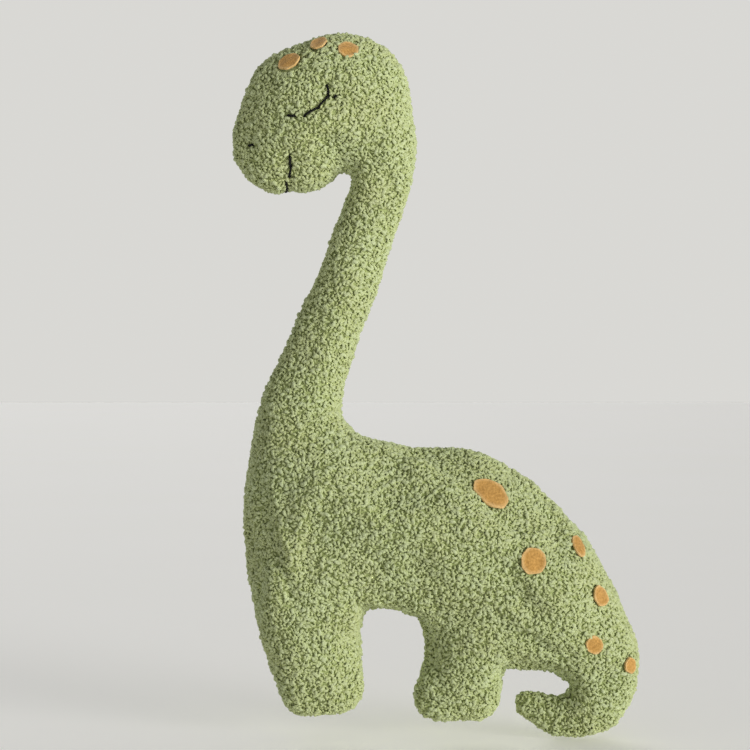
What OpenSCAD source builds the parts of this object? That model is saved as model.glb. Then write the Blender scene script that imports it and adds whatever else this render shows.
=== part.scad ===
// Stuffed long-necked dinosaur: two sewn bouclé panels, stuffing wads, embroidery and felt spots.
// The toy stands upright: +Z up, -X towards the snout, Y = 0 is the seam that runs round its outline.

/* [Toy] */
// Height of the whole toy, from the underside of the tail to the top of the head
toy_height = 400; // [300:10:520]
// Half thickness of the stuffed body, as a share of its natural value
plumpness = 1; // [0.8:0.05:1.1]

/* [Fabric] */
// Thickness of the bouclé fabric with its pile
fabric_thick = 4; // [3:0.5:5]
// Width of the seam allowance that is turned inwards
seam_allowance = 5; // [3:0.5:6]
// Thickness of the seam allowance of one panel
allowance_thick = 2; // [1.5:0.5:3]

/* [Felt spots] */
// Thickness of the felt
felt_thick = 1.2; // [0.8:0.2:2]

/* [Thread] */
// Width of the embroidery stitches
stitch_w = 1.4; // [1:0.2:2]
// Height of a stitch above the fabric
stitch_h = 0.8; // [0.6:0.1:1.2]

/* [Hidden] */
// Facets of the rounded forms that the toy is blended from: outside, and inside the skin
outer_facets = 20;
inner_facets = 12;
// Clearance between pieces that lie against each other
gap = 0.3;
// Everything below is drawn for a toy this high
drawn_height = 400;
size_factor = toy_height / drawn_height;
// Larger than any side of the toy
far = 600;
// A sphere inside the skin never gets smaller than this
least_radius = 0.8;

// Each limb is a chain of rounded forms [x, z, radius, half thickness], blended one to the next.
head = [[-86, 338, 30, 25], [-73.5, 357, 36, 33], [-53, 361, 39, 36]];
jaw = [[-86, 338, 30, 25], [-76, 331, 22.3, 22], [-58, 341.5, 18.5, 24]];
nape = [[-53, 361, 39, 36], [-30, 334, 19.5, 21], [-30.5, 316, 17, 17.5]];
neck = [
    [-30.5, 316, 17, 17.5], [-34.3, 303, 16.6, 16.5], [-42.8, 281, 17, 16.5], [-51, 256, 17.8, 17.5],
    [-61.5, 232, 18.8, 19], [-70.5, 208, 20, 21.5], [-76, 192, 22.5, 25], [-78.5, 172, 25.5, 30]
];
trunk = [
    [-78.5, 172, 25.5, 30], [-67.5, 136, 42, 38], [-61, 127, 48, 42], [-20, 119.5, 46.5, 45],
    [10, 116.5, 49, 45], [28, 109.5, 46, 42], [50, 89.5, 43, 38], [71, 72, 33.5, 30]
];
tail = [
    [71, 72, 33.5, 30], [91, 50, 23.5, 21], [96, 34, 18.5, 17], [90.5, 20.5, 17, 15], [80, 14, 13.5, 12.5],
    [68, 12.5, 11, 10.5], [58, 17, 9, 8.5], [51.5, 20.3, 7.2, 6.8]
];
chest = [[-61, 127, 48, 42], [-70, 100, 38.3, 36], [-72, 66, 29, 25]];
front_leg = [[-72, 66, 29, 25], [-68.5, 45, 26, 22]];
front_foot = [[-68.5, 45, 26, 22], [-73.5, 27, 15, 18], [-56, 29.5, 15.3, 18]];
haunch = [[19.5, 96, 36, 38], [16.5, 63, 24, 27]];
hind_leg = [[16.5, 63, 24, 27], [16.5, 45, 23, 22]];
hind_foot = [[16.5, 45, 23, 22], [0, 23.5, 13.2, 18], [22.5, 24, 14, 18]];
belly_front = [[-42, 99, 26, 36], [-20, 102, 28, 38], [2, 80, 15, 25], [16.5, 63, 24, 27]];
belly_rear = [[16.5, 63, 24, 27], [36, 63, 23, 26], [71, 72, 33.5, 30]];
chains = [
    head, jaw, nape, neck, trunk, tail, chest, front_leg, front_foot,
    haunch, hind_leg, hind_foot, belly_front, belly_rear
];

// Felt spots: [name, x, z, width, length, turn, rounded form under it].
// The turn is in degrees about the spot's own centre.
spots = [
    ["head_front_spot", -82.5, 380.5, 12, 13.5, 60, [-73.5, 357, 36, 33]],
    ["head_middle_spot", -66, 391, 11, 10.5, 10, [-53, 361, 39, 36]],
    ["head_rear_spot", -49.5, 388, 12, 13, 0, [-53, 361, 39, 36]],
    ["back_front_spot", 29, 139.5, 17, 22, 125, [28, 109.5, 46, 42]],
    ["back_rear_spot", 52.5, 104, 14.5, 15, 20, [50, 89.5, 43, 38]],
    ["rump_upper_spot", 79, 111, 9.5, 13, 0, [50, 89.5, 43, 38]],
    ["rump_middle_spot", 90.5, 83.5, 11, 13, 10, [71, 72, 33.5, 30]],
    ["rump_lower_spot", 88, 55, 9.5, 10.5, 20, [91, 50, 23.5, 21]],
    ["tail_spot", 108, 44, 9, 9.5, 0, [91, 50, 23.5, 21]]
];

// Stitches: lists of [x, z] that each strand follows on the face
lid_line = [[-74, 348], [-70, 350], [-66, 352.5], [-63, 355.5], [-60.5, 359]];
rear_lash = [[-60.5, 359], [-61, 365]];
front_lash = [[-82, 348.5], [-77.5, 347.5]];
lash_dot = [[-56.5, 358], [-56, 359.5]];
mouth_line = [[-81, 327], [-80.5, 321], [-81, 315], [-82.5, 308], [-83, 300]];
nostril_line = [[-103.5, 333], [-102, 334.5]];

// The turning gap is closed by hand in the arch between the legs
closing_low = [-42, 60];
closing_high = [-9, 90];

// Planes that part the stuffing wads
head_z = 318;
chin_x = -49;
chin_z = 300;
neck_z = 196;
leg_z = 76;
leg_part_x = -25;
tail_root = [66, 39];
tail_root_slope = 24;
tail_tip_x = 43;

// The stitched groove at the seam lies this deep under the pile, and is this wide
groove_depth = 2.2;
thread_w = 1;

// One rounded form of a chain, grown outwards by a distance (or shrunk if it is negative)
module form(f, grow) {
    radius = max(f[2] + grow, least_radius);
    half = max(f[3] * plumpness + grow, least_radius);
    translate([f[0], 0, f[1]]) rotate([90, 0, 0]) scale([radius, radius, half])
        sphere(r = 1, $fn = grow < 0 ? inner_facets : outer_facets);
}

// A chain: each form is blended into the next. A foot blends all of its forms at once.
module chain(c, grow) {
    if (c == front_foot || c == hind_foot) {
        hull() for (f = c) form(f, grow);
    } else {
        for (i = [0 : len(c) - 2]) hull() {
            form(c[i], grow);
            form(c[i + 1], grow);
        }
    }
}

// The whole toy as one closed form
module toy(grow) {
    for (c = chains) chain(c, grow);
}

// The space on one side of the seam: -1 is the toy's left, 1 its right
module side(s, from = 0, to = far) {
    translate([-far, s > 0 ? from : -to, -far]) cube([2 * far, to - from, 2 * far]);
}

// The layer that lies on the fabric, between two heights above it
module layer(low, high) {
    difference() {
        toy(high);
        toy(low);
    }
}

// The band along the seam, between two depths under the surface
module seam_band(shallow, deep, half) {
    intersection() {
        difference() {
            toy(-shallow);
            toy(-deep);
        }
        translate([-far, -half, -far]) cube([2 * far, 2 * half, 2 * far]);
    }
}

// The stretch of the seam that is closed by hand
module closing_zone(grow = 0) {
    size = closing_high - closing_low + [2 * grow, 2 * grow];
    translate([closing_low[0] - grow, -far, closing_low[1] - grow]) cube([size[0], 2 * far, size[1]]);
}

// One side of the skin, with its allowance turned in along the seam
module panel(s) {
    difference() {
        union() {
            intersection() {
                difference() {
                    toy(0);
                    toy(-fabric_thick);
                }
                side(s);
            }
            intersection() {
                difference() {
                    toy(0.1 - fabric_thick);
                    toy(-fabric_thick - seam_allowance);
                }
                side(s, 0, allowance_thick);
            }
        }
        seam_band(groove_depth - 0.1, groove_depth + thread_w + 0.1, thread_w / 2 + 0.1);
    }
}

// The whole stuffing, clear of the skin and of its turned-in allowance
module stuffing() {
    difference() {
        toy(-fabric_thick - gap);
        difference() {
            translate([-far, -allowance_thick - gap, -far])
                cube([2 * far, 2 * (allowance_thick + gap), 2 * far]);
            toy(-fabric_thick - seam_allowance - gap);
        }
    }
}

// A block of space between two corners [x, z], for parting the wads
module block(low, high) {
    translate([low[0], -far, low[1]]) cube([high[0] - low[0], 2 * far, high[1] - low[1]]);
}

// The space of the head: above the nape, and in front of the throat
module head_zone() {
    block([-far, head_z], [far, far]);
    block([-far, chin_z], [chin_x, far]);
}

// The space of the tail: under a plane that rises to the rump, behind the hind leg
module tail_zone() {
    intersection() {
        block([tail_tip_x, -far], [far, far]);
        translate([tail_root[0], 0, tail_root[1]]) rotate([0, -tail_root_slope, 0])
            translate([-far, -far, -far]) cube([2 * far, 2 * far, far]);
    }
}

module head_stuffing() {
    color("white") intersection() {
        stuffing();
        head_zone();
    }
}

module neck_stuffing() {
    color("whitesmoke") difference() {
        intersection() {
            stuffing();
            block([-far, neck_z], [far, far]);
        }
        head_zone();
    }
}

module body_stuffing() {
    color("ivory") difference() {
        intersection() {
            stuffing();
            block([-far, leg_z], [far, neck_z]);
        }
        tail_zone();
    }
}

module front_leg_stuffing() {
    color("snow") intersection() {
        stuffing();
        block([-far, -far], [leg_part_x, leg_z]);
    }
}

module hind_leg_stuffing() {
    color("snow") difference() {
        intersection() {
            stuffing();
            block([leg_part_x, -far], [far, leg_z]);
        }
        tail_zone();
    }
}

module tail_stuffing() {
    color("mintcream") intersection() {
        stuffing();
        tail_zone();
    }
}

module seam_thread() {
    color("darkolivegreen") difference() {
        seam_band(groove_depth, groove_depth + thread_w, thread_w / 2);
        closing_zone();
    }
}

module closing_thread() {
    color("olivedrab") intersection() {
        seam_band(groove_depth, groove_depth + thread_w, thread_w / 2);
        closing_zone(-gap);
    }
}

// A strand of stitches along a line, as a wall through the whole toy
module strand(line) {
    for (i = [0 : len(line) - 2]) hull() {
        for (p = [line[i], line[i + 1]]) {
            translate([p[0], 0, p[1]]) rotate([90, 0, 0])
                cylinder(d = stitch_w, h = far, center = true, $fn = 12);
        }
    }
}

module eye_thread(s) {
    color("black") intersection() {
        layer(gap, gap + stitch_h);
        side(s, 1);
        union() {
            strand(lid_line);
            strand(rear_lash);
            strand(front_lash);
            strand(lash_dot);
        }
    }
}

module mouth_thread() {
    color("black") intersection() {
        layer(gap, gap + stitch_h);
        strand(mouth_line);
    }
}

module nostril_thread(s) {
    color("black") intersection() {
        layer(gap, gap + stitch_h);
        side(s, 1);
        strand(nostril_line);
    }
}

// Height of a rounded form above the seam plane, at a point on it
function height_on(f, x, z) =
    f[3] * plumpness * sqrt(1 - (pow(x - f[0], 2) + pow(z - f[1], 2)) / pow(f[2], 2));
// Direction that the form's surface faces there, on the toy's right side
function facing(f, x, z) = [
    (x - f[0]) / pow(f[2], 2),
    height_on(f, x, z) / pow(f[3] * plumpness, 2),
    (z - f[1]) / pow(f[2], 2)
];

// One oval felt spot, lying on the fabric
module felt_spot(spot, s) {
    form_under = spot[6];
    y = height_on(form_under, spot[1], spot[2]);
    n = facing(form_under, spot[1], spot[2]);
    yaw = atan2(s * n[1], n[0]);
    tilt = acos(n[2] / norm(n));
    color("sandybrown") intersection() {
        layer(gap, gap + felt_thick);
        translate([spot[1], s * y, spot[2]]) rotate([0, tilt, yaw]) rotate([0, 0, 90 + s * spot[5]])
            scale([spot[3], spot[4], 1]) cylinder(d = 1, h = 20, center = true, $fn = 24);
    }
}

scale(size_factor) {
    color("darkseagreen") panel(-1);  // left_panel
    color("darkseagreen") panel(1);  // right_panel
    seam_thread();
    closing_thread();
    head_stuffing();
    neck_stuffing();
    body_stuffing();
    front_leg_stuffing();
    hind_leg_stuffing();
    tail_stuffing();
    eye_thread(-1);  // left_eye_thread
    eye_thread(1);  // right_eye_thread
    mouth_thread();
    nostril_thread(-1);  // left_nostril_thread
    nostril_thread(1);  // right_nostril_thread
    for (s = spots) {
        felt_spot(s, -1);
        felt_spot(s, 1);
    }
}
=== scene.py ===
import math

import bmesh
import bpy
import numpy as np
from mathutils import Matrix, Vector
from mathutils.bvhtree import BVHTree
from mathutils.kdtree import KDTree


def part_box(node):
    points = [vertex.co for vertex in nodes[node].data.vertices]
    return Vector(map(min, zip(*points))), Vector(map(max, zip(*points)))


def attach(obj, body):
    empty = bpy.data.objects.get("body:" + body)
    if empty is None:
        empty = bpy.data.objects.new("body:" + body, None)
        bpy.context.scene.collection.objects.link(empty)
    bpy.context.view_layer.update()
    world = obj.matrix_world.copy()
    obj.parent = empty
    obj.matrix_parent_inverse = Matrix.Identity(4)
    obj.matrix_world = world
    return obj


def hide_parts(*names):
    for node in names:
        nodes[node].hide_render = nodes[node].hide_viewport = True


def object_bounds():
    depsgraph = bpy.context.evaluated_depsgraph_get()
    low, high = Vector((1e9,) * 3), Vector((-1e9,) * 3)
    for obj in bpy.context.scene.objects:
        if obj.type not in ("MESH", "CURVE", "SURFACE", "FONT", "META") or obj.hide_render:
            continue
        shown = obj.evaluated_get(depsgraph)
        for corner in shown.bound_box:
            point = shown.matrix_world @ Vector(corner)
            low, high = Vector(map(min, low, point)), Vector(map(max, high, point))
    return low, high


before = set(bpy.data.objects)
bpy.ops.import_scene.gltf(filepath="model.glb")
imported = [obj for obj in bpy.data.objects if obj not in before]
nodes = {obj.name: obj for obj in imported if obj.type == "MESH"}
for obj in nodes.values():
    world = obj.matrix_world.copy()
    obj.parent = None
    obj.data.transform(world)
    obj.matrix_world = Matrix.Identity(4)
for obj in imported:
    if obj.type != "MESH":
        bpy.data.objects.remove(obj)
cad_low, cad_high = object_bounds()
MM = 0.001
BODY = "root"
SIDES = {"left": -1, "right": 1}
SPOTS = ("head_front", "head_middle", "head_rear", "back_front", "back_rear",
         "rump_upper", "rump_middle", "rump_lower", "tail")
STUFFING = ("head", "neck", "body", "front_leg", "hind_leg", "tail")

# ---------------------------------------------------------------- camera

CAMERA_DISTANCE = 1.15
CAMERA_LEFT = 34 * MM     # from the middle of the toy
CAMERA_UP = 6 * MM
VIEW_WIDTH = 0.425        # width of the picture at the seam plane
SENSOR = 36.0


def make_camera():
    data = bpy.data.cameras.new("camera")
    data.sensor_width = SENSOR
    data.lens = SENSOR * CAMERA_DISTANCE / VIEW_WIDTH
    data.clip_start = 0.1
    camera = bpy.data.objects.new("camera", data)
    bpy.context.scene.collection.objects.link(camera)
    middle = (cad_low + cad_high) / 2
    camera.location = (middle.x - CAMERA_LEFT, -CAMERA_DISTANCE, middle.z + CAMERA_UP)
    camera.rotation_euler = (math.radians(90), 0, 0)
    bpy.context.scene.camera = camera


make_camera()

# ---------------------------------------------------------------- mesh helpers


def new_object(name, points, faces, material=None):
    """A smooth-shaded mesh object from arrays of points and equal-sized faces."""
    mesh = bpy.data.meshes.new(name)
    points = np.asarray(points, np.float32)
    faces = np.asarray(faces, np.int32)
    mesh.vertices.add(len(points))
    mesh.vertices.foreach_set("co", points.ravel())
    mesh.loops.add(faces.size)
    mesh.loops.foreach_set("vertex_index", faces.ravel())
    mesh.polygons.add(len(faces))
    mesh.polygons.foreach_set("loop_start", np.arange(0, faces.size, faces.shape[1]))
    mesh.polygons.foreach_set("use_smooth", np.ones(len(faces), bool))
    mesh.update(calc_edges=True)
    mesh.validate()
    if material:
        mesh.materials.append(material)
    made = bpy.data.objects.new(name, mesh)
    bpy.context.scene.collection.objects.link(made)
    return made


def points_of(thing):
    co = np.empty(len(thing.data.vertices) * 3, np.float32)
    thing.data.vertices.foreach_get("co", co)
    return co.reshape(-1, 3).astype(float)


def normals_of(thing):
    no = np.empty(len(thing.data.vertices) * 3, np.float32)
    thing.data.vertex_normals.foreach_get("vector", no)
    return no.reshape(-1, 3).astype(float)


def set_points(thing, points):
    thing.data.vertices.foreach_set("co", np.asarray(points, np.float32).ravel())
    thing.data.update()


def edges_of(thing):
    ends = np.empty(len(thing.data.edges) * 2, np.int32)
    thing.data.edges.foreach_get("vertices", ends)
    return ends.reshape(-1, 2)


def smoothed(points, edges, rounds, share=0.5):
    """Points moved towards the mean of their neighbours."""
    count = np.bincount(edges.ravel(), minlength=len(points))[:, None]
    for _ in range(rounds):
        total = np.zeros_like(points)
        for axis in range(points.shape[1]):
            total[:, axis] = (np.bincount(edges[:, 0], points[edges[:, 1], axis], len(points))
                              + np.bincount(edges[:, 1], points[edges[:, 0], axis], len(points)))
        points = points + share * (total / count - points)
    return points


def apply_modifiers(thing):
    bpy.context.view_layer.objects.active = thing
    for modifier in list(thing.modifiers):
        bpy.ops.object.modifier_apply(modifier=modifier.name)


def tree_of(*things):
    """A tree for the nearest point on, or a ray's first hit with, some meshes."""
    points, faces = [], []
    for thing in things:
        start = len(points)
        points += [v.co.copy() for v in thing.data.vertices]
        faces += [[start + i for i in p.vertices] for p in thing.data.polygons]
    return BVHTree.FromPolygons(points, faces)


def unit(v):
    return v / np.maximum(np.linalg.norm(v, axis=-1, keepdims=True), 1e-12)


# ---------------------------------------------------------------- form of the stuffed skin

CELL = 1.25 * MM          # grid on which the panel's outline is read
NET_STEP = 3.125 * MM     # grid of the first skin mesh
BULGE_SWEEPS = ((5, 1500), (1, 900))   # coarse and fine stride, and the sweeps at each
NET_HALF = 60 * MM        # how far the mesh is sought on each side of the seam
NET_SMOOTHING = 6         # rounds
MARGIN = 10               # cells round the outline
ROUNDNESS = 1.5           # half thickness is this times the root of the bulge, where that is small
FLATTENING = 190 * MM     # the root of the bulge at which the half thickness is half of that
OUTSIDE_SLOPE = 12 * MM   # slope of the bulge beyond the outline
PILE = 2.3 * MM           # height of the pile over the skin


def outline_grid(eye=None):
    """Where the panels fill the seam plane, on a grid, seen squarely or from an eye."""
    tree = tree_of(nodes["left_panel"], nodes["right_panel"])
    start = np.array([cad_low.x, cad_low.z]) - MARGIN * CELL
    span = np.array([cad_high.x - cad_low.x, cad_high.z - cad_low.z]) + 2 * MARGIN * CELL
    count = (np.ceil(span / CELL / 5) * 5).astype(int) + 1
    filled = np.zeros(count, bool)
    for i in range(count[0]):
        for j in range(count[1]):
            x, z = start + CELL * np.array([i, j])
            place = Vector((x, 0, z))
            origin = eye or Vector((x, -1, z))
            filled[i, j] = tree.ray_cast(origin, (place - origin).normalized())[0] is not None
    return filled, start


def neighbours(a):
    padded = np.pad(a, 1)
    return padded[:-2, 1:-1], padded[2:, 1:-1], padded[1:-1, :-2], padded[1:-1, 2:]


def bulge_of(filled):
    """Bulge of a membrane under pressure, held at the outline. It falls below 0 outside."""
    bulge = np.zeros(filled.shape)
    for stride, sweeps in BULGE_SWEEPS:
        mask = filled[::stride, ::stride]
        part = bulge[::stride, ::stride]
        load = (CELL * stride) ** 2
        for _ in range(sweeps):
            part = mask * (sum(neighbours(part)) + load) / 4
        if stride > 1:
            part = np.repeat(np.repeat(part, stride, 0), stride, 1)
            part = part[:filled.shape[0], :filled.shape[1]]
        bulge = part * filled if stride > 1 else part
    reached = filled.copy()
    for ring in range(MARGIN):
        grown = reached | np.any([n > 0 for n in neighbours(reached.astype(int))], axis=0)
        bulge[grown & ~reached] = -OUTSIDE_SLOPE * CELL * (ring + 0.5)
        reached = grown
    bulge[~reached] = -OUTSIDE_SLOPE * CELL * MARGIN
    return bulge


def surface_net(field, origin, step):
    """Closed mesh of quads where a sampled field changes sign."""
    cells = [n - 1 for n in field.shape]
    total, count, found = np.zeros(cells + [3]), np.zeros(cells), []
    for axis in range(3):
        low = np.take(field, range(cells[axis]), axis)
        high = np.take(field, range(1, cells[axis] + 1), axis)
        crosses = (low > 0) != (high > 0)
        place = np.stack(np.indices(low.shape), -1).astype(float)
        place[..., axis] += np.where(crosses, low / np.where(crosses, low - high, 1), 0)
        b, c = (axis + 1) % 3, (axis + 2) % 3
        for i in (0, 1):
            for j in (0, 1):
                pick = [slice(None)] * 3
                pick[b], pick[c] = slice(i, i + cells[b]), slice(j, j + cells[c])
                pick = tuple(pick)
                total += place[pick] * crosses[pick][..., None]
                count += crosses[pick]
        found.append((axis, b, c, np.argwhere(crosses), low > 0))
    used = count > 0
    index = np.full(cells, -1)
    index[used] = np.arange(used.sum())
    points = origin + step * total[used] / count[used][:, None]
    quads = []
    for axis, b, c, at, inside in found:
        corners = []
        for db, dc in ((1, 1), (0, 1), (0, 0), (1, 0)):
            cell = at.copy()
            cell[:, b] -= db
            cell[:, c] -= dc
            corners.append(index[tuple(cell.T)])
        quad = np.stack(corners, 1)
        turned = ~inside[tuple(at.T)]
        quad[turned] = quad[turned][:, ::-1]
        quads.append(quad)
    return points, np.concatenate(quads)


def stuffed_form(filled, start):
    """The stuffed skin as one closed mesh, below the pile."""
    bulge = bulge_of(filled)
    stride = round(2 * NET_STEP / CELL) / 2
    ys = np.arange(-NET_HALF, NET_HALF + NET_STEP, NET_STEP)
    xs = np.arange(0, filled.shape[0] - 1, stride)
    zs = np.arange(0, filled.shape[1] - 1, stride)
    fx, fz = np.floor(xs).astype(int), np.floor(zs).astype(int)
    rx, rz = (xs - fx)[:, None], (zs - fz)[None, :]
    sampled = ((1 - rx) * (1 - rz) * bulge[np.ix_(fx, fz)] + rx * (1 - rz) * bulge[np.ix_(fx + 1, fz)]
               + (1 - rx) * rz * bulge[np.ix_(fx, fz + 1)] + rx * rz * bulge[np.ix_(fx + 1, fz + 1)])
    flatter = 1 + np.sqrt(np.maximum(sampled, 0)) / FLATTENING
    field = (ROUNDNESS ** 2 * sampled / flatter ** 2)[:, None, :] - ys[None, :, None] ** 2
    origin = np.array([start[0], ys[0], start[1]])
    points, quads = surface_net(field, origin, NET_STEP)
    form = new_object("form", points, quads)
    points = smoothed(points, edges_of(form), NET_SMOOTHING)
    set_points(form, points)
    normals = normals_of(form)
    set_points(form, points - PILE * normals)
    return form


# How far a push spreads over the skin, in each round of the fitting
FIT_REACHES = (5 * MM, 5 * MM, 4 * MM, 3 * MM, 2.5 * MM, 2.5 * MM)
FIT_STEP = 6 * MM         # the farthest that one round may push
SEAM_PILE = 1.1 * MM      # how far the pile reaches past the seam in outline
PILE_SEEN = 2.0 * MM      # how far it reaches past the skin elsewhere


def outline_tree(filled, start):
    """A tree for the nearest place on the panels' outline, in the seam plane."""
    places = []
    for axis in (0, 1):
        low = np.take(filled, range(filled.shape[axis] - 1), axis)
        high = np.take(filled, range(1, filled.shape[axis]), axis)
        at = np.argwhere(low != high).astype(float)
        at[:, axis] += 0.5
        places.append(start + CELL * at)
    places = np.concatenate(places)
    tree = KDTree(len(places))
    for number, (x, z) in enumerate(places):
        tree.insert((x, 0, z), number)
    tree.balance()
    return tree


def depth_in(filled, start, outline, flat):
    """How deep places of the seam plane lie inside an outline. It is below 0 outside."""
    cells = np.round((flat - start) / CELL).astype(int)
    inside = np.where(filled[tuple(cells.T)], 1, -1)
    return inside * np.array([outline.find((x, 0, z))[2] for x, z in flat])


def fitted(thing, filled, start):
    """Brings the seam back to the panels' outline, and the rest inside the outline that a camera sees."""
    eye = bpy.context.scene.camera.location
    seen, _ = outline_grid(eye)
    outline, seen_outline = outline_tree(filled, start), outline_tree(seen, start)
    centre = np.array([eye.x, eye.z])
    for reach in FIT_REACHES:
        points, normals = points_of(thing), normals_of(thing)
        nearer = CAMERA_DISTANCE / (CAMERA_DISTANCE - np.abs(points[:, 1:2]))
        shown = centre + nearer * (points[:, [0, 2]] - centre)
        excess = depth_in(seen, start, seen_outline, shown) - PILE_SEEN
        at_seam = np.abs(points[:, 1]) < 0.8 * NET_STEP
        excess[at_seam] = depth_in(filled, start, outline, points[at_seam][:, [0, 2]]) - SEAM_PILE
        moved = at_seam | (excess < 0)
        out = unit(normals[moved] * (1, 0, 1))
        push = np.clip(excess[moved], -FIT_STEP, FIT_STEP)[:, None] * out
        apart = ((points[:, None] - points[moved][None]) ** 2).sum(-1)
        weights = np.exp(-apart / (2 * reach ** 2))
        set_points(thing, points + weights @ push / (weights.sum(1) + 1)[:, None])


# ---------------------------------------------------------------- stuffing pressure

SIM_FRAMES = 20
SIM_CAP = 3.5 * MM        # the farthest that the cloth may move a point
SWELL = 1.6 * MM          # the simulated skin starts smaller by this
ANCHORS = 300             # places at which the drift is averaged
DRIFT_REACH = 22 * MM


def drift_of(points, moved):
    """How far each part of the toy has moved as a whole: the local mean of all its sides."""
    anchors = points[np.random.default_rng(5).choice(len(points), ANCHORS, replace=False)]
    weights = np.exp(-((points[:, None] - anchors[None]) ** 2).sum(-1) / (2 * DRIFT_REACH ** 2))
    means = weights.T @ moved / weights.sum(0)[:, None]
    return weights @ means / weights.sum(1)[:, None]


def puffed(thing):
    """Rounds and puckers the skin by cloth simulation, with the stuffing as pressure."""
    start = points_of(thing)
    set_points(thing, start - SWELL * normals_of(thing))
    cloth = thing.modifiers.new("cloth", "CLOTH")
    cloth.point_cache.frame_end = SIM_FRAMES
    settings = cloth.settings
    settings.quality = 4
    settings.mass = 0.15
    settings.tension_stiffness = 20
    settings.compression_stiffness = 20
    settings.shear_stiffness = 8
    settings.bending_stiffness = 0.6
    settings.shrink_min = -0.03
    settings.use_pressure = True
    settings.uniform_pressure_force = 4
    settings.effector_weights.gravity = 0
    scene = bpy.context.scene
    for step in range(1, SIM_FRAMES + 1):
        scene.frame_set(step)
    shown = thing.evaluated_get(bpy.context.evaluated_depsgraph_get())
    moved = points_of(shown) - start
    thing.modifiers.clear()
    scene.frame_set(1)
    moved -= drift_of(start, moved)
    length = np.linalg.norm(moved, axis=1, keepdims=True)
    set_points(thing, start + moved * np.minimum(1, SIM_CAP / np.maximum(length, 1e-9)))


def waves(points, size, seed, count=24):
    """A smooth random field, about -1 to 1, whose bumps have the given size."""
    rng = np.random.default_rng(seed)
    ways = unit(rng.normal(size=(count, 3))) * (2 * math.pi / size) * rng.uniform(0.6, 1.3, (count, 1))
    return np.sin(points @ ways.T + rng.uniform(0, 2 * math.pi, count)).sum(1) / math.sqrt(count)


# ---------------------------------------------------------------- places of the trim

# Stitches of one strand, as shares of its node's box from front to tail and from low to high
EYE_STITCHES = (((0.33, 0.06), (0.61, 0.30)), ((0.61, 0.30), (0.82, 0.66)), ((0.82, 0.64), (0.79, 0.98)),
                ((0.00, 0.085), (0.19, 0.055)), ((0.94, 0.61), (0.97, 0.64)))
MOUTH_STITCHES = (((0.40, 1.03), (0.52, 0.70)), ((0.52, 0.76), (0.34, 0.42)))
NOSTRIL_STITCHES = (((0.12, 0.36), (0.80, 0.62)),)
STITCH_POINTS = 9
# The mouth's strand crosses under the chin: how far to each side, and how deep it is sought
CHIN_HALF = 17 * MM
CHIN_DEPTH = 6 * MM
CHIN_SUNK = 0.9 * MM      # how deep it lies in the pile there
CHIN_COVERED = 6 * MM     # the pile covers it up to this far from the seam


def in_box(node, u, v, s):
    """A place on the outer face of a node's box. s is -1 for the left side."""
    low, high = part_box(node)
    y = low.y if s < 0 else high.y
    return Vector((low.x + u * (high.x - low.x), y, low.z + v * (high.z - low.z)))


def on_skin(tree, aim, s):
    """Where the skin lies behind a place of the frame, as seen from that side, and its normal."""
    eye = bpy.context.scene.camera.location.copy()
    eye.y = s * CAMERA_DISTANCE
    place, normal, _, _ = tree.ray_cast(eye, (aim - eye).normalized())
    if place is None:
        place, normal, _, _ = tree.find_nearest(aim)
    return place, normal


def stitch_path(tree, node, stitch, s):
    (u0, v0), (u1, v1) = stitch
    path = []
    for t in np.linspace(0, 1, STITCH_POINTS):
        aim = in_box(node, u0 + t * (u1 - u0), v0 + t * (v1 - v0), s)
        path.append(on_skin(tree, aim, s))
    return path


def stitch_paths(tree):
    """Every embroidery stitch, by node, as places on the skin with normals."""
    paths = {}
    for side, s in SIDES.items():
        for part, stitches in (("eye", EYE_STITCHES), ("nostril", NOSTRIL_STITCHES)):
            node = f"{side}_{part}_thread"
            paths[node] = [stitch_path(tree, node, stitch, s) for stitch in stitches]
    node = "mouth_thread"
    paths[node] = [stitch_path(tree, node, stitch, s) for s in SIDES.values() for stitch in MOUTH_STITCHES]
    low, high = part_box(node)
    x, turn = low.x + 0.3 * (high.x - low.x), []
    for t in np.linspace(-1, 1, 2 * STITCH_POINTS):
        aim = Vector((x, CHIN_HALF * t, low.z + CHIN_DEPTH * (1.3 * t * t - 1)))
        place, normal, _, _ = tree.find_nearest(aim)
        turn.append((place - float(1 - t * t) * CHIN_SUNK * normal, normal))
    paths[node].append(turn)
    return paths


STEEPEST = 0.5            # a spot's surface is taken to face the side at least this much
FELT = 1.2 * MM           # thickness of a spot
FELT_REST = 1.5 * MM      # height of the felt's underside over the skin


def spot_place(tree, node):
    """A felt spot's centre on the skin, its normal, and two half axes, as the node looks from the side."""
    points = points_of(nodes[node])
    low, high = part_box(node)
    middle = (low + high) / 2
    side = SIDES[node.split("_")[0]]
    place, normal = on_skin(tree, middle, side)
    place, normal = on_skin(tree, middle - (FELT_REST + FELT / 2) * normal, side)
    normal = np.array(normal)
    flat = (points - np.array(middle)) * (1, 0, 1)
    _, _, ways = np.linalg.svd(flat, full_matrices=False)
    axes = []
    for way in ways[:2]:
        reach = (np.ptp(flat @ way) - FELT * abs(way @ normal)) / 2
        way = reach * way
        way[1] = -(way @ normal) / (math.copysign(max(abs(normal[1]), STEEPEST), normal[1]))
        axes.append(way)
    return np.array(place), normal, axes[0], axes[1]


# ---------------------------------------------------------------- shaping of the skin

SEAM_DEPTH = 1.1 * MM     # of the valley along the seam
SEAM_REACH = 1.8 * MM
LUMP = 0.9 * MM           # height of the lumps of uneven stuffing
LUMP_START = 14 * MM      # the lumps grow up to this far from the seam
PULL_DEPTH = 1.5 * MM     # how deep a stitch pulls the skin in
PULL_REACH = 4.5 * MM


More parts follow.
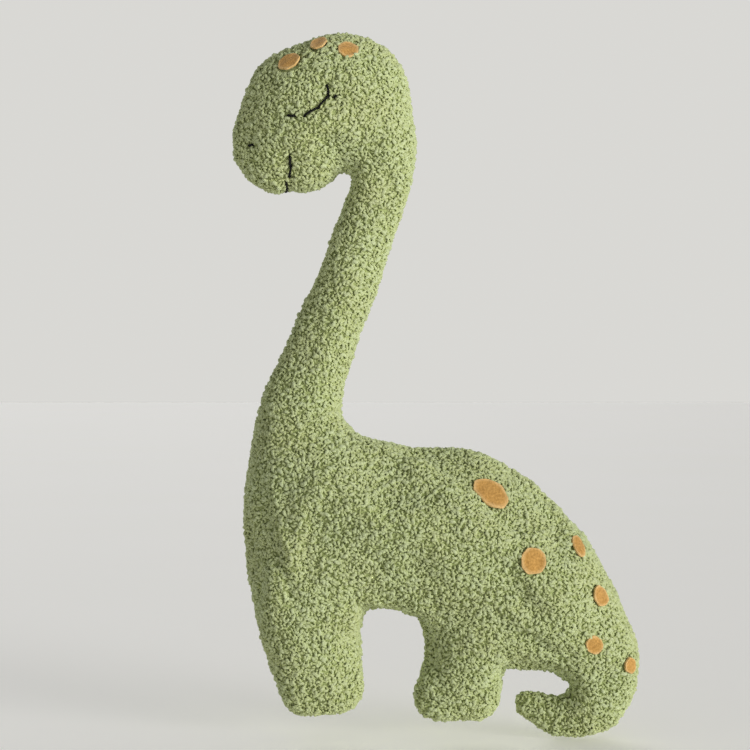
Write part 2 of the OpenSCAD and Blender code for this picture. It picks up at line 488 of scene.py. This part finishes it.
def shaped(thing):
    """Uneven stuffing, the valley of the seam, and the dents that the stitches pull."""
    points, normals = points_of(thing), normals_of(thing)
    lift = LUMP * (0.7 * waves(points, 45 * MM, 11) + 0.4 * waves(points, 20 * MM, 12))
    lift *= 1 - 0.8 * np.exp(-(points[:, 1] / LUMP_START) ** 2)
    lift -= SEAM_DEPTH * np.exp(-(points[:, 1] / SEAM_REACH) ** 2)
    tree = tree_of(thing)
    for node, paths in stitch_paths(tree).items():
        marks = np.array([place for path in paths for place, _ in path])
        near = np.full(len(points), np.inf)
        for mark in marks:
            near = np.minimum(near, np.linalg.norm(points - mark, axis=1))
        deep = PULL_DEPTH * (1.5 if node == "mouth_thread" else 1)
        lift -= deep * np.exp(-(near / PULL_REACH) ** 2)
    set_points(thing, points + lift[:, None] * normals)


def half_of(thing, side, s):
    """The panel on one side of the seam."""
    mesh = bmesh.new()
    mesh.from_mesh(thing.data)
    bmesh.ops.bisect_plane(mesh, geom=mesh.verts[:] + mesh.edges[:] + mesh.faces[:], dist=1e-6,
                           plane_co=(0, 0, 0), plane_no=(0, -s, 0), clear_outer=True)
    data = bpy.data.meshes.new(f"skin_{side}")
    mesh.to_mesh(data)
    mesh.free()
    panel = bpy.data.objects.new(f"skin_{side}", data)
    bpy.context.scene.collection.objects.link(panel)
    return panel


def seam_ring(panel):
    """The points of a panel's cut edge, in order."""
    mesh = bmesh.new()
    mesh.from_mesh(panel.data)
    edge = max((e for e in mesh.edges if e.is_boundary), key=lambda e: e.verts[0].co.z)
    first = point = edge.verts[0]
    ring = []
    while True:
        ring.append(np.array(point.co))
        point = edge.other_vert(point)
        if point is first:
            break
        edge = next(e for e in point.link_edges if e.is_boundary and e is not edge)
    mesh.free()
    return np.array(ring)


ALLOWANCE = 5 * MM        # width of the seam allowance
BACKING = 1.2 * MM        # thickness of the fabric without its pile


def finished_panel(panel, s):
    """Turns the seam allowance in and gives the fabric's backing its thickness."""
    mesh = bmesh.new()
    mesh.from_mesh(panel.data)
    rim = [e for e in mesh.edges if e.is_boundary]
    inwards = {}
    for e in rim:
        for v in e.verts:
            inwards[v] = inwards.get(v, Vector()) - e.link_faces[0].normal
    turned = bmesh.ops.extrude_edge_only(mesh, edges=rim)["geom"]
    pairs = {tuple(round(c, 7) for c in v.co): way for v, way in inwards.items()}
    for v in turned:
        if isinstance(v, bmesh.types.BMVert):
            way = pairs[tuple(round(c, 7) for c in v.co)]
            way.y = 0
            v.co += way.normalized() * ALLOWANCE + Vector((0, s * 0.8 * MM, 0))
    bmesh.ops.recalc_face_normals(mesh, faces=mesh.faces)
    mesh.to_mesh(panel.data)
    mesh.free()
    for polygon in panel.data.polygons:
        polygon.use_smooth = True
    thick = panel.modifiers.new("backing", "SOLIDIFY")
    thick.thickness = BACKING
    thick.offset = -1
    apply_modifiers(panel)


# ---------------------------------------------------------------- tubes

def frames_along(path):
    """Two directions across a path at each of its points."""
    along = unit(np.gradient(path, axis=-2))
    lead = np.where(np.abs(along[..., 2:3]) < 0.9, (0.0, 0.0, 1.0), (1.0, 0.0, 0.0))
    across = unit(np.cross(along, lead))
    return across, np.cross(along, across)


def tube(path, radius, sides):
    """Points and faces of an open tube along a path. The radius may vary along it."""
    path = np.asarray(path, float)
    across, up = frames_along(path)
    turn = np.arange(sides) * 2 * math.pi / sides
    radius = np.broadcast_to(radius, len(path))[:, None, None]
    rings = path[:, None] + radius * (np.cos(turn)[None, :, None] * across[:, None]
                                      + np.sin(turn)[None, :, None] * up[:, None])
    return rings.reshape(-1, 3), tube_faces(len(path), sides)


def tube_faces(rings, sides):
    i, j = np.meshgrid(np.arange(rings - 1), np.arange(sides), indexing="ij")
    k = (j + 1) % sides
    low, high = i * sides, (i + 1) * sides
    return np.stack([low + j, low + k, high + k, high + j], -1).reshape(-1, 4)


def joined(parts):
    """Several (points, faces) pairs as one."""
    points, faces, start = [], [], 0
    for p, f in parts:
        points.append(p)
        faces.append(f + start)
        start += len(p)
    return np.concatenate(points), np.concatenate(faces)


# ---------------------------------------------------------------- pile

CLUMP_SPACING = 3.4 * MM  # the loops gather in small curly clumps
CLUMP_LEAN = 0.38         # how far the loops lean to their clump's middle
CLUMP_FALL = 0.24         # how much lower the loops are at a clump's edge
CLUMP_SHADE = 0.15        # how much darker the yarn is painted at a clump's edge: painted shade among the clumps
LOOP_SPACING = 1.5 * MM
LOOP_SPAN = (2.0, 3.0)    # mm, least and greatest
LOOP_HEIGHT = (1.7, 2.3)
LOOP_SWAY = (0.3, 0.9)
LOOP_KINDS = 48           # different curls
LOOP_RINGS = 8
LOOP_SIDES = 6
YARN = (0.6 * MM, 0.9 * MM)   # least and greatest radius of the pile's yarn
FLUFF = 0.35              # share of the skin's own direction in the shading of the fluffy yarn
PILE_PIECES = 12          # pieces a side
THREAD_ROOM = 1.3 * MM    # no loop stands nearer to a stitch
UNDER_SPOT = 0.95         # no loop stands within this share of a spot's radius
SPOT_NEAR = 6 * MM        # and this near to its plane


def scattered(thing, spacing, rng, tries):
    """Random points on a mesh, no two nearer than the spacing, with normals."""
    mesh = thing.data
    mesh.calc_loop_triangles()
    corners = np.empty(len(mesh.loop_triangles) * 3, np.int32)
    mesh.loop_triangles.foreach_get("vertices", corners)
    corners = corners.reshape(-1, 3)
    points, normals = points_of(thing), normals_of(thing)
    a, b, c = (points[corners[:, i]] for i in range(3))
    area = np.linalg.norm(np.cross(b - a, c - a), axis=1)
    count = int(tries * area.sum() / 2 / spacing ** 2)
    chosen = rng.choice(len(area), count, p=area / area.sum())
    u, v = rng.random((2, count))
    u, v = np.where(u + v > 1, 1 - u, u), np.where(u + v > 1, 1 - v, v)
    w = (1 - u - v)[:, None]
    u, v = u[:, None], v[:, None]
    places = w * a[chosen] + u * b[chosen] + v * c[chosen]
    at_a, at_b, at_c = (normals[corners[chosen, i]] for i in range(3))
    ways = unit(w * at_a + u * at_b + v * at_c)
    keys = np.floor(places / spacing).astype(int)
    taken, kept = {}, []
    around = [(i, j, k) for i in (-1, 0, 1) for j in (-1, 0, 1) for k in (-1, 0, 1)]
    limit = spacing ** 2
    for n, (place, key) in enumerate(zip(places.tolist(), keys.tolist())):
        x, y, z = place
        free = True
        for i, j, k in around:
            for other in taken.get((key[0] + i, key[1] + j, key[2] + k), ()):
                if (other[0] - x) ** 2 + (other[1] - y) ** 2 + (other[2] - z) ** 2 < limit:
                    free = False
                    break
            if not free:
                break
        if free:
            taken.setdefault(tuple(key), []).append(place)
            kept.append(n)
    return places[kept], ways[kept]


def loop_kind(rng):
    """One curl of yarn on the skin, rooted at the origin: its tube's points and faces."""
    t = np.linspace(0, 1, LOOP_RINGS)
    span, height = rng.uniform(*LOOP_SPAN) * MM, rng.uniform(*LOOP_HEIGHT) * MM
    sway, phase = rng.uniform(*LOOP_SWAY) * MM, rng.uniform(0, 2 * math.pi)
    path = np.stack([-span / 2 * np.cos(math.pi * t),
                     sway * np.sin(rng.uniform(0.8, 1.7) * 2 * math.pi * t + phase),
                     height * np.sin(math.pi * t) ** 0.75 - 0.5 * MM], 1)
    radius = rng.uniform(*YARN) * (0.7 + 0.35 * np.sin(math.pi * t)) * rng.uniform(0.85, 1.15, LOOP_RINGS)
    return tube(path, radius, LOOP_SIDES)


def shares(away, first, second, normal):
    """Offsets in a plane as shares of two of its vectors, which may be askew."""
    back = np.linalg.inv(np.stack([first, second, normal]))
    return (away @ back).T[:2]


def clear_of_trim(places, spots, paths):
    """Which roots of the pile are free: not under a felt spot and not under a stitch."""
    free = np.ones(len(places), bool)
    for place, normal, first, second in spots.values():
        away = places - place
        reach = np.hypot(*shares(away, first, second, normal))
        free &= ~((reach < UNDER_SPOT) & (np.abs(away @ normal) < SPOT_NEAR))
    for stitches in paths.values():
        for stitch in stitches:
            for place, _ in stitch:
                if abs(place[1]) > CHIN_COVERED:
                    free &= np.linalg.norm(places - np.array(place), axis=1) > THREAD_ROOM
    return free


def clumped(places, ways, centres):
    """Which way each loop leans to its clump's middle, and how near the clump's edge it stands."""
    tree = KDTree(len(centres))
    for number, centre in enumerate(centres):
        tree.insert(centre, number)
    tree.balance()
    middle = np.array([tree.find(place)[0] for place in places])
    away = (middle - places) / (0.6 * CLUMP_SPACING)
    away -= (away * ways).sum(1, keepdims=True) * ways
    return away, np.minimum((away ** 2).sum(1), 1.3)


def pile_mesh(places, ways, centres, kinds, rng):
    """All loops of one pile piece, as points, faces and how far up the pile each point is, lowered at a
    clump's edge as painted shade.
    """
    count = len(places)
    to_middle, edge = clumped(places, ways, centres)
    which = rng.integers(0, len(kinds), count)
    stock = np.stack([points for points, _ in kinds])[which]
    spin = rng.uniform(0, 2 * math.pi, count)
    lean = rng.normal(0, 0.3, (count, 2))
    size = (rng.uniform(0.9, 1.2, count) - CLUMP_FALL * edge)[:, None, None]
    first = unit(np.cross(ways, rng.normal(size=(count, 3))))
    second = np.cross(ways, first)
    up = unit(ways + lean[:, :1] * first + lean[:, 1:] * second + CLUMP_LEAN * to_middle)
    side_way = unit(np.cos(spin)[:, None] * first + np.sin(spin)[:, None] * second)
    side_way = unit(side_way - (side_way * up).sum(1, keepdims=True) * up)
    axes = np.stack([side_way, np.cross(up, side_way), up], 1)
    points = np.einsum("nvi,nij->nvj", stock * size, axes) + places[:, None]
    # Painted shade: the height that sets the yarn's colour is lowered at a clump's edge, so the yarn there is
    # coloured darker.
    height = ((points - places[:, None]) * ways[:, None]).sum(-1) * (1 - CLUMP_SHADE * edge)[:, None]
    faces = kinds[0][1][None] + (np.arange(count) * stock.shape[1])[:, None, None]
    return points.reshape(-1, 3), faces.reshape(-1, 4), height.ravel()


def make_pile(panel, side, s, spots, paths, yarn):
    """The pile of one panel, in pieces from the feet up."""
    rng = np.random.default_rng(100 + s)
    places, ways = scattered(panel, LOOP_SPACING, rng, 7)
    keep = clear_of_trim(places, spots, paths)
    places, ways = places[keep], ways[keep]
    order = np.argsort(places[:, 2])
    kinds = [loop_kind(rng) for _ in range(LOOP_KINDS)]
    centres, _ = scattered(panel, CLUMP_SPACING, rng, 6)
    made = []
    for number, part in enumerate(np.array_split(order, PILE_PIECES), 1):
        points, faces, height = pile_mesh(places[part], ways[part], centres, kinds, rng)
        piece = new_object(f"pile_{side}_{number}", points, faces, yarn)
        # The tip attribute sets the yarn's painted shade: points low in the pile are coloured darker.
        tip = piece.data.attributes.new("tip", "FLOAT", "POINT")
        tip.data.foreach_set("value", np.clip(height / PILE, 0, 1).astype(np.float32))
        soft = unit((1 - FLUFF) * normals_of(piece) + FLUFF * np.repeat(ways[part], len(kinds[0][0]), axis=0))
        piece.data.normals_split_custom_set_from_vertices(soft)
        made.append(piece)
    return made


# ---------------------------------------------------------------- felt spots

SPOT_RINGS = 9
SPOT_POINTS = 56
SPOT_SEARCH = 15 * MM     # the skin below a spot is sought from this far out


def cut_outline(rng):
    """A hand-cut round: short straight cuts of the scissors round a circle, as radius by direction."""
    turn = np.arange(SPOT_POINTS) * 2 * math.pi / SPOT_POINTS
    cuts = int(rng.integers(6, 9))
    ways = (np.arange(cuts) + rng.uniform(-0.22, 0.22, cuts)) * 2 * math.pi / cuts + rng.uniform(0, 1)
    reach = rng.uniform(0.92, 1.0, cuts)
    facing = np.cos(turn[:, None] - ways)
    radius = np.where(facing > 0.2, reach / np.maximum(facing, 0.2), 9).min(1)
    radius = np.minimum(radius, 1.08)
    radius = (np.roll(radius, 1) + 2 * radius + np.roll(radius, -1)) / 4
    return turn, radius


def make_spot(tree, name, place, normal, first, second, felt, seed):
    """One hand-cut felt spot that follows the body's curve, with its edges a little raised."""
    rng = np.random.default_rng(seed)
    turn, cut = cut_outline(rng)
    points = [place]
    for ring in range(1, SPOT_RINGS + 1):
        share = ring / SPOT_RINGS
        reach = share * (1 + (cut - 1) * share)
        points += list(place + np.outer(reach * np.cos(turn), first) + np.outer(reach * np.sin(turn), second))
    points = np.array(points)
    wave = waves(points, 7 * MM, seed, 12)
    out = []
    for number, (point, bump) in enumerate(zip(points, wave)):
        share = math.ceil(number / SPOT_POINTS) / SPOT_RINGS
        hit = tree.ray_cast(Vector(point + SPOT_SEARCH * normal), Vector(-normal))[0]
        base = np.array(hit) if hit is not None else point
        lift = FELT_REST + 0.18 * MM * bump + 0.35 * MM * share ** 4
        out.append(base + lift * normal)
    out = np.array(out)
    faces = [[0, 1 + i, 1 + (i + 1) % SPOT_POINTS] for i in range(SPOT_POINTS)]
    for ring in range(SPOT_RINGS - 1):
        for i in range(SPOT_POINTS):
            j = (i + 1) % SPOT_POINTS
            low, high = 1 + ring * SPOT_POINTS, 1 + (ring + 1) * SPOT_POINTS
            faces.append([low + i, high + i, high + j, low + j])
    mesh = bpy.data.meshes.new(name)
    mesh.from_pydata(out.tolist(), [], faces)
    mesh.materials.append(felt)
    for polygon in mesh.polygons:
        polygon.use_smooth = True
    made = bpy.data.objects.new(name, mesh)
    bpy.context.scene.collection.objects.link(made)
    edges = edges_of(made)
    set_points(made, smoothed(points_of(made), edges, 3, 0.4))
    thick = made.modifiers.new("thickness", "SOLIDIFY")
    thick.thickness = FELT
    thick.offset = 1
    rounded = made.modifiers.new("edge", "BEVEL")
    rounded.width = 0.22 * MM
    rounded.segments = 2
    rounded.limit_method = "ANGLE"
    apply_modifiers(made)
    away = points_of(made) - place
    reach = np.hypot(*shares(away, first, second, normal))
    # Marks the cut edge, where the felt gets its painted highlight.
    rim = made.data.attributes.new("rim", "FLOAT", "POINT")
    rim.data.foreach_set("value", np.clip((reach - 0.72) / 0.2, 0, 1).astype(np.float32))
    return made


# ---------------------------------------------------------------- threads

PLY = 0.4 * MM            # radius of one ply of the embroidery thread
PLY_TURN = 2.0 * MM       # length of one turn of the twist
SEAM_STITCH = 2.6 * MM
SEAM_STEP = 3.2 * MM      # from one stitch to the next
SEAM_THREAD = 0.2 * MM    # radius
LADDER_STEP = 4.0 * MM
LADDER_WIDTH = 1.3 * MM
CLOSING_THREAD = 0.3 * MM  # radius


def twisted(path, ply, pitch, sides=6):
    """Two plies wound round a path."""
    path = np.asarray(path)
    length = np.concatenate([[0], np.cumsum(np.linalg.norm(np.diff(path, axis=0), axis=1))])
    fine = np.linspace(0, length[-1], max(8, int(length[-1] / (0.2 * MM))))
    path = np.stack([np.interp(fine, length, path[:, i]) for i in range(3)], 1)
    across, up = frames_along(path)
    parts = []
    for start in (0, math.pi):
        angle = (fine * 2 * math.pi / pitch + start)[:, None]
        parts.append(tube(path + 0.85 * ply * (np.cos(angle) * across + np.sin(angle) * up), ply, sides))
    return joined(parts)


def make_strand(name, stitches, thread):
    """The stitches of one embroidery thread: each one dives into the fabric at both ends."""
    parts = []
    for stitch in stitches:
        t = np.linspace(0, 1, len(stitch))
        height = (-0.8 + 3.3 * np.sin(math.pi * t) ** 0.35) * MM
        path = [np.array(place) + h * np.array(normal) for (place, normal), h in zip(stitch, height)]
        parts.append(twisted(path, PLY, PLY_TURN))
    return new_object(name, *joined(parts), thread)


def make_seam(ring, tree, thread):
    """The stitches that show along the valley where the two panels meet."""
    ring = np.vstack([ring, ring[:1]])
    length = np.concatenate([[0], np.cumsum(np.linalg.norm(np.diff(ring, axis=0), axis=1))])
    parts, at = [], 0.0
    while at + SEAM_STITCH < length[-1]:
        marks = at + np.linspace(0, SEAM_STITCH, 5)
        path = np.stack([np.interp(marks, length, ring[:, i]) for i in range(3)], 1)
        out = np.array([tree.find_nearest(Vector(p))[1] for p in path])
        sink = (0.35 - 1.0 * (2 * (marks - at) / SEAM_STITCH - 1) ** 2) * MM
        parts.append(tube(path + sink[:, None] * out, SEAM_THREAD, 5))
        at += SEAM_STEP
    return new_object("seam_stitches", *joined(parts), thread)


def make_closing(ring, tree, thread):
    """The ladder stitches by hand that close the opening for the stuffing."""
    low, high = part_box("closing_thread")
    inside = (ring[:, 0] > low.x - MM) & (ring[:, 0] < high.x + MM) & (ring[:, 2] > low.z - 2 * MM)
    inside &= ring[:, 2] < high.z + 2 * MM
    start = int(np.argmax(inside & ~np.roll(inside, 1)))
    ring = np.roll(ring, -start, axis=0)[:int(inside.sum())]
    length = np.concatenate([[0], np.cumsum(np.linalg.norm(np.diff(ring, axis=0), axis=1))])
    parts, s = [], 1
    for at in np.arange(0, length[-1] - LADDER_STEP, LADDER_STEP):
        marks = np.array([at, at + 0.35 * LADDER_STEP, at + 0.65 * LADDER_STEP, at + LADDER_STEP])
        path = np.stack([np.interp(marks, length, ring[:, i]) for i in range(3)], 1)
        path[:, 1] += s * np.array([-1.0, -0.6, 0.6, 1.0]) * LADDER_WIDTH
        smooth = np.stack([np.interp(np.linspace(0, 3, 9), range(4), path[:, i]) for i in range(3)], 1)
        path = []
        for point, sink in zip(smooth, (-0.9, 0.1, 0.5, 0.6, 0.6, 0.6, 0.5, 0.1, -0.9)):
            place, normal, _, _ = tree.find_nearest(Vector(point))
            path.append(np.array(place) + sink * MM * np.array(normal))
        parts.append(tube(path, CLOSING_THREAD, 6))
        s = -s
    return new_object("closing_stitches", *joined(parts), thread)


# ---------------------------------------------------------------- stuffing

WAD_GAP = 3.2 * MM        # from the form to the wads inside it
WAD_GRID = 2.4 * MM


def make_wad(name, tree, fibre, seed):
    """A wad of stuffing: the node's shape, lumpy and fibrous, kept inside the skin."""
    wad = bpy.data.objects.new(name + "_fill", nodes[name + "_stuffing"].data.copy())
    wad.data.materials.clear()
    wad.data.materials.append(fibre)
    bpy.context.scene.collection.objects.link(wad)
    grid = wad.modifiers.new("grid", "REMESH")
    grid.mode = "VOXEL"
    grid.voxel_size = WAD_GRID
    apply_modifiers(wad)
    points = smoothed(points_of(wad), edges_of(wad), 3)
    set_points(wad, points)
    normals = normals_of(wad)
    lumps = 0.9 * waves(points, 16 * MM, seed) + 0.7 * waves(points, 6 * MM, seed + 1) - 0.5
    points += lumps[:, None] * MM * normals
    for i, point in enumerate(points):
        place, normal, _, _ = tree.find_nearest(Vector(point))
        depth = (np.array(place) - point) @ np.array(normal)
        if depth < WAD_GAP:
            points[i] = point - (WAD_GAP - depth) * np.array(normal)
    set_points(wad, points)
    for polygon in wad.data.polygons:
        polygon.use_smooth = True
    return wad


# ---------------------------------------------------------------- materials

def new_material(name, roughness):
    material = bpy.data.materials.new(name)
    material.use_nodes = True
    tree = material.node_tree
    shader = tree.nodes["Principled BSDF"]
    shader.inputs["Roughness"].default_value = roughness
    return material, tree, shader


def ramp(tree, source, stops):
    """A colour ramp. stops are (place, colour)."""
    made = tree.nodes.new("ShaderNodeValToRGB")
    elements = made.color_ramp.elements
    while len(elements) < len(stops):
        elements.new(0.5)
    for element, (place, colour) in zip(elements, stops):
        element.position = place
        element.color = (*colour, 1)
    tree.links.new(source, made.inputs["Fac"])
    return made.outputs["Color"]


def noise(tree, scale, detail=3):
    place = tree.nodes.new("ShaderNodeTexCoord")
    made = tree.nodes.new("ShaderNodeTexNoise")
    made.inputs["Scale"].default_value = scale
    made.inputs["Detail"].default_value = detail
    tree.links.new(place.outputs["Object"], made.inputs["Vector"])
    return made.outputs["Fac"]


def mixed(tree, factor, a, b, mode="MIX"):
    made = tree.nodes.new("ShaderNodeMix")
    made.data_type = "RGBA"
    made.blend_type = mode
    for socket, value in ((made.inputs[0], factor), (made.inputs[6], a), (made.inputs[7], b)):
        if isinstance(value, bpy.types.NodeSocket):
            tree.links.new(value, socket)
        elif isinstance(value, tuple):
            socket.default_value = (*value, 1)
        else:
            socket.default_value = value
    return made.outputs[2]


def bumped(tree, shader, height, distance):
    bump = tree.nodes.new("ShaderNodeBump")
    bump.inputs["Distance"].default_value = distance
    bump.inputs["Strength"].default_value = 0.8
    tree.links.new(height, bump.inputs["Height"])
    tree.links.new(bump.outputs["Normal"], shader.inputs["Normal"])


# Painted shade: the yarn is coloured from YARN_ROOT at the skin to YARN_TIP at a loop's top, darker down
# among the loops where shade falls.
YARN_ROOT = (0.45, 0.50, 0.195)
YARN_MIDDLE = (0.515, 0.575, 0.285)
YARN_TIP = (0.55, 0.615, 0.35)
YARN_OLIVE = (0.53, 0.52, 0.23)


def yarn_material():
    material, tree, shader = new_material("boucle_yarn", 0.9)
    # Painted shade: the tip attribute makes the yarn darker towards the roots of the loops.
    tip = tree.nodes.new("ShaderNodeAttribute")
    tip.attribute_name = "tip"
    rise = ramp(tree, tip.outputs["Fac"], ((0.0, YARN_ROOT), (0.55, YARN_MIDDLE), (1.0, YARN_TIP)))
    curl = tree.nodes.new("ShaderNodeNewGeometry")
    shades = ((0.0, (0.92, 0.92, 0.90)), (0.5, (0.99, 0.99, 0.99)), (1.0, (1.06, 1.06, 1.06)))
    shade = ramp(tree, curl.outputs["Random Per Island"], shades)
    colour = mixed(tree, 1.0, rise, shade, "MULTIPLY")
    patch = ramp(tree, noise(tree, 38), ((0.35, (0.0, 0.0, 0.0)), (0.7, (0.22, 0.22, 0.22))))
    colour = mixed(tree, patch, colour, YARN_OLIVE)
    tree.links.new(colour, shader.inputs["Base Color"])
    bumped(tree, shader, noise(tree, 1500, 2), 0.0005)
    shader.inputs["Sheen Weight"].default_value = 0.35
    shader.inputs["Sheen Roughness"].default_value = 0.5
    shader.inputs["Sheen Tint"].default_value = (0.85, 0.95, 0.6, 1)
    shader.inputs["Specular IOR Level"].default_value = 0.15
    return material


def skin_material():
    material, tree, shader = new_material("boucle_backing", 0.95)
    # The backing is coloured a little darker than the yarn: its own olive, with painted shade for the gaps
    # among the loops.
    colour = ramp(tree, noise(tree, 900), ((0.3, (0.34, 0.39, 0.16)), (0.7, (0.42, 0.48, 0.20))))
    tree.links.new(colour, shader.inputs["Base Color"])
    bumped(tree, shader, noise(tree, 1400), 0.0004)
    shader.inputs["Specular IOR Level"].default_value = 0.1
    return material


FELT_DARK = (0.42, 0.215, 0.05)
FELT_LIGHT = (0.68, 0.375, 0.105)
# Painted highlight along the spots' cut edges.
FELT_RIM_HIGHLIGHT = (0.88, 0.62, 0.29)


def felt_material():
    material, tree, shader = new_material("felt", 0.92)
    fine = noise(tree, 900, 4)
    broad = noise(tree, 90, 3)
    colour = ramp(tree, fine, ((0.3, FELT_DARK), (0.7, FELT_LIGHT)))
    cast = ramp(tree, broad, ((0.3, (0.9, 0.9, 0.9)), (0.7, (1.06, 1.06, 1.06))))
    colour = mixed(tree, 1.0, colour, cast, "MULTIPLY")
    # Painted highlight: the felt is coloured paler towards its cut edge, in patches.
    rim = tree.nodes.new("ShaderNodeAttribute")
    rim.attribute_name = "rim"
    highlight_and_mottle = tree.nodes.new("ShaderNodeMath")
    highlight_and_mottle.operation = "MULTIPLY"
    tree.links.new(rim.outputs["Fac"], highlight_and_mottle.inputs[0])
    tree.links.new(noise(tree, 500, 3), highlight_and_mottle.inputs[1])
    colour = mixed(tree, highlight_and_mottle.outputs[0], colour, FELT_RIM_HIGHLIGHT)
    tree.links.new(colour, shader.inputs["Base Color"])
    bumped(tree, shader, noise(tree, 1300, 4), 0.0003)
    shader.inputs["Sheen Weight"].default_value = 0.4
    shader.inputs["Sheen Roughness"].default_value = 0.5
    shader.inputs["Sheen Tint"].default_value = (1.0, 0.85, 0.6, 1)
    shader.inputs["Specular IOR Level"].default_value = 0.15
    return material


def thread_material(name, dark, light, roughness):
    material, tree, shader = new_material(name, roughness)
    colour = ramp(tree, noise(tree, 2500, 2), ((0.35, dark), (0.7, light)))
    tree.links.new(colour, shader.inputs["Base Color"])
    shader.inputs["Specular IOR Level"].default_value = 0.12
    return material


# ---------------------------------------------------------------- light and floor

FLOOR_HALF = 14.0
# Lamps: name, where the light comes from, power, and how wide the source is in degrees
LAMPS = (
    ("key", (0.78, -0.62, -0.10), 7.1, 42),
    ("back_fill", (-0.25, 0.97, 0.02), 3.3, 50),
)
# Light from all round, without a lamp
ROOM_LIGHT = 0.30
ROOM_COLOUR = (0.97, 0.985, 0.98)
FLOOR_PALE = (0.86, 0.845, 0.81)
FLOOR_GLOW = 0.196        # the floor's own light, so that it meets the backdrop
SEEN_PALE = (0.694, 0.6875, 0.661)   # the backdrop, as the camera sees it


def make_stage():
    material, tree, shader = new_material("pale_floor", 0.9)
    highlight_and_mottle = tuple(0.98 * c for c in FLOOR_PALE)
    tree.links.new(ramp(tree, noise(tree, 2), ((0.3, highlight_and_mottle), (0.7, FLOOR_PALE))), shader.inputs["Base Color"])
    shader.inputs["Specular IOR Level"].default_value = 0.1
    shader.inputs["Emission Color"].default_value = (1.0, 0.985, 0.955, 1)
    shader.inputs["Emission Strength"].default_value = FLOOR_GLOW
    floor_z = cad_low.z - 0.3 * MM
    corners = [(x * FLOOR_HALF, y * FLOOR_HALF, floor_z) for x, y in ((-1, -1), (1, -1), (1, 1), (-1, 1))]
    new_object("floor", corners, [(0, 1, 2, 3)], material)
    for name, way, power, softness in LAMPS:
        sun = bpy.data.lights.new(name, "SUN")
        sun.energy = power
        sun.angle = math.radians(softness)
        lamp = bpy.data.objects.new(name, sun)
        lamp.rotation_euler = Vector(way).to_track_quat("Z", "Y").to_euler()
        bpy.context.scene.collection.objects.link(lamp)
    world = bpy.data.worlds.new("studio")
    world.use_nodes = True
    tree = world.node_tree
    light = tree.nodes["Background"]
    light.inputs["Color"].default_value = (*ROOM_COLOUR, 1)
    light.inputs["Strength"].default_value = ROOM_LIGHT
    seen = tree.nodes.new("ShaderNodeBackground")
    seen.inputs["Color"].default_value = (*SEEN_PALE, 1)
    seen.inputs["Strength"].default_value = 1.0
    path = tree.nodes.new("ShaderNodeLightPath")
    mix = tree.nodes.new("ShaderNodeMixShader")
    tree.links.new(path.outputs["Is Camera Ray"], mix.inputs[0])
    tree.links.new(light.outputs[0], mix.inputs[1])
    tree.links.new(seen.outputs[0], mix.inputs[2])
    tree.links.new(mix.outputs[0], tree.nodes["World Output"].inputs["Surface"])
    bpy.context.scene.world = world


# ---------------------------------------------------------------- the toy

yarn = yarn_material()
skin = skin_material()
felt = felt_material()
black = thread_material("black_thread", (0.004, 0.004, 0.004), (0.014, 0.014, 0.014), 0.6)
green = thread_material("green_thread", (0.10, 0.12, 0.045), (0.20, 0.23, 0.09), 0.7)
fibre = thread_material("fibre", (0.72, 0.70, 0.66), (0.86, 0.85, 0.82), 0.95)

make_stage()
bpy.context.scene.view_settings.view_transform = "Standard"
filled, start = outline_grid()
form = stuffed_form(filled, start)
puffed(form)
fitted(form, filled, start)
shaped(form)
finer = form.modifiers.new("finer", "SUBSURF")
finer.levels = 1
apply_modifiers(form)
tree = tree_of(form)
paths = stitch_paths(tree)

for side, s in SIDES.items():
    spots = {}
    for number, spot in enumerate(SPOTS):
        node = f"{side}_{spot}_spot"
        spots[node] = spot_place(tree, node)
        made = make_spot(tree, node + "_felt", *spots[node], felt, 40 + number)
        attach(made, BODY)
        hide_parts(node)
    panel = half_of(form, side, s)
    if side == "left":
        ring = seam_ring(panel)
    for piece in make_pile(panel, side, s, spots, paths, yarn):
        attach(piece, BODY)
        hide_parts(f"{side}_panel")
    panel.data.materials.append(skin)
    finished_panel(panel, s)
    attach(panel, BODY)
    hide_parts(f"{side}_panel")

for node, stitches in paths.items():
    made = make_strand(node.replace("thread", "strand"), stitches, black)
    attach(made, BODY)
    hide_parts(node)

sewn = {"seam_thread": make_seam(ring, tree, green), "closing_thread": make_closing(ring, tree, green)}
for node, made in sewn.items():
    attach(made, BODY)
    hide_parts(node)

for number, name in enumerate(STUFFING):
    made = make_wad(name, tree, fibre, 70 + 2 * number)
    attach(made, BODY)
    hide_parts(name + "_stuffing")

bpy.data.objects.remove(form)
